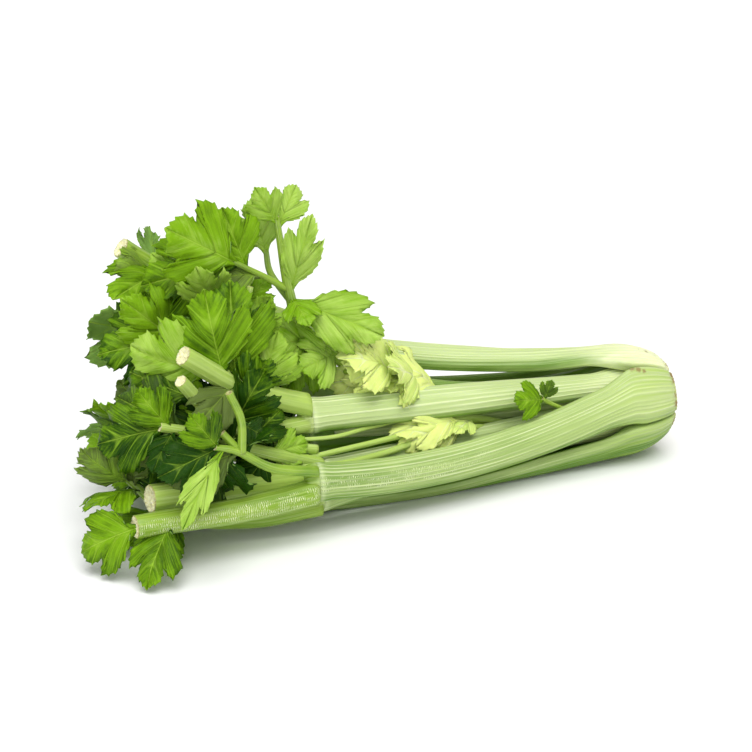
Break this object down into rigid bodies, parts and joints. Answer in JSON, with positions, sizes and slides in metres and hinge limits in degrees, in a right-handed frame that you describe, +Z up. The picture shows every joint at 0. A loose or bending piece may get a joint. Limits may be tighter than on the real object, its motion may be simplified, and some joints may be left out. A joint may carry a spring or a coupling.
{
  "type": "head of celery",
  "caption": "Fresh head of celery lying on its side: ribbed green stalks closed round a trimmed root, with leafy tops.",
  "frame": {"origin": "middle of the head's bounding box, on the surface that it lies on", "axes": "+X along the head towards the cut root, +Z up, -Y the side seen in the picture"},
  "size_m": [0.4062, 0.1918, 0.2026],
  "materials": {
    "crown": "matt",
    "stalk": "satin, moist",
    "leaf": "satin",
    "heart_leaf": "satin"
  },
  "bodies": {
    "root": {"crown": "crown", "stalk_core": "stalk", "stalk_front": "stalk", "leaves_front": "leaf", "stalk_top": "stalk", "leaves_top": "leaf", "stalk_bottom": "stalk", "leaves_bottom": "leaf", "stalk_back": "stalk", "leaves_back": "leaf", "stalk_middle": "stalk", "leaves_middle": "leaf", "stalk_front_low": "stalk", "leaves_front_low": "leaf", "stalk_back_low": "stalk", "leaves_back_low": "leaf", "stalk_rising": "stalk", "leaves_rising": "leaf", "stalk_inner": "stalk", "leaves_inner": "leaf", "stalk_tucked": "stalk", "leaves_tucked": "leaf", "stalk_sprig": "stalk", "leaves_sprig": "heart_leaf", "stalk_lime": "stalk", "leaves_lime": "heart_leaf", "stalk_deep": "stalk", "leaves_deep": "heart_leaf"}
  },
  "joints": []
}
